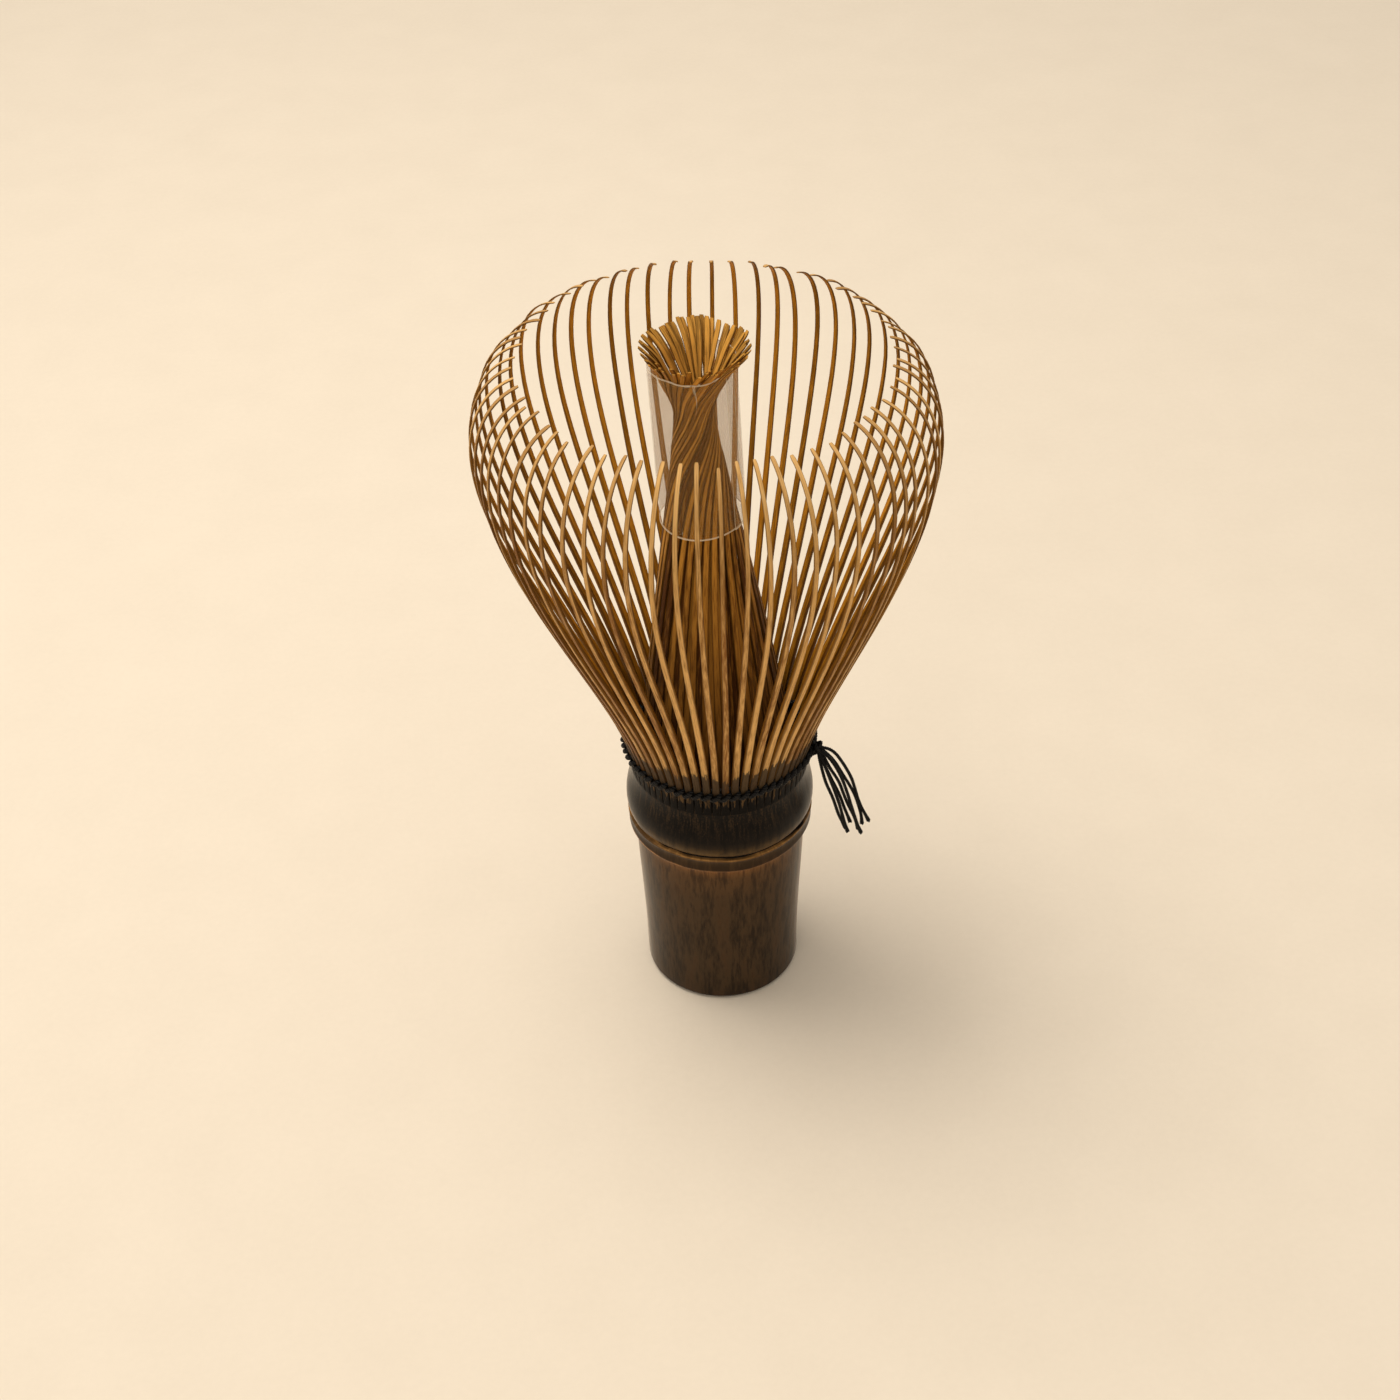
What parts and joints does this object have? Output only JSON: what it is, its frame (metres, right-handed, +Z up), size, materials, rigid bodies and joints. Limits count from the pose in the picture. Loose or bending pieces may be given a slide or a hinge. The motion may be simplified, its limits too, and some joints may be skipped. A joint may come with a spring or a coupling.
{
  "type": "tea whisk",
  "caption": "Bamboo tea whisk standing on its handle: fine tines in an open bulb round a twisted inner bundle, black thread lacing with loose tails, and a clear slide-off sleeve.",
  "frame": {"origin": "centre of the handle's foot, on the surface that the whisk stands on", "axes": "+Z up along the handle to the tines, +X towards the lacing's knot, -Y the front"},
  "size_m": [0.0646, 0.0646, 0.1144],
  "materials": {
    "smoked_culm": "satin",
    "outer_bamboo": "satin",
    "inner_bamboo": "satin",
    "thread": "twisted",
    "clear_film": "clear"
  },
  "bodies": {
    "whisk": {"handle": "smoked_culm", "outer_tines": "outer_bamboo", "inner_tines": "inner_bamboo", "lacing_strand_a": "thread", "lacing_strand_b": "thread", "lacing_knot": "thread", "thread_tail_1": "thread", "thread_tail_2": "thread", "thread_tail_3": "thread", "thread_tail_4": "thread", "thread_tail_5": "thread", "thread_tail_6": "thread", "thread_tail_7": "thread"},
    "sleeve": {"sleeve": "clear_film"}
  },
  "joints": [
    {"name": "sleeve_slide", "type": "slide", "parent": "whisk", "child": "sleeve", "axis": [-0.0401, 0, 0.9992], "range_m": [0, 0.034], "deforming": ["inner_tines"]}
  ]
}
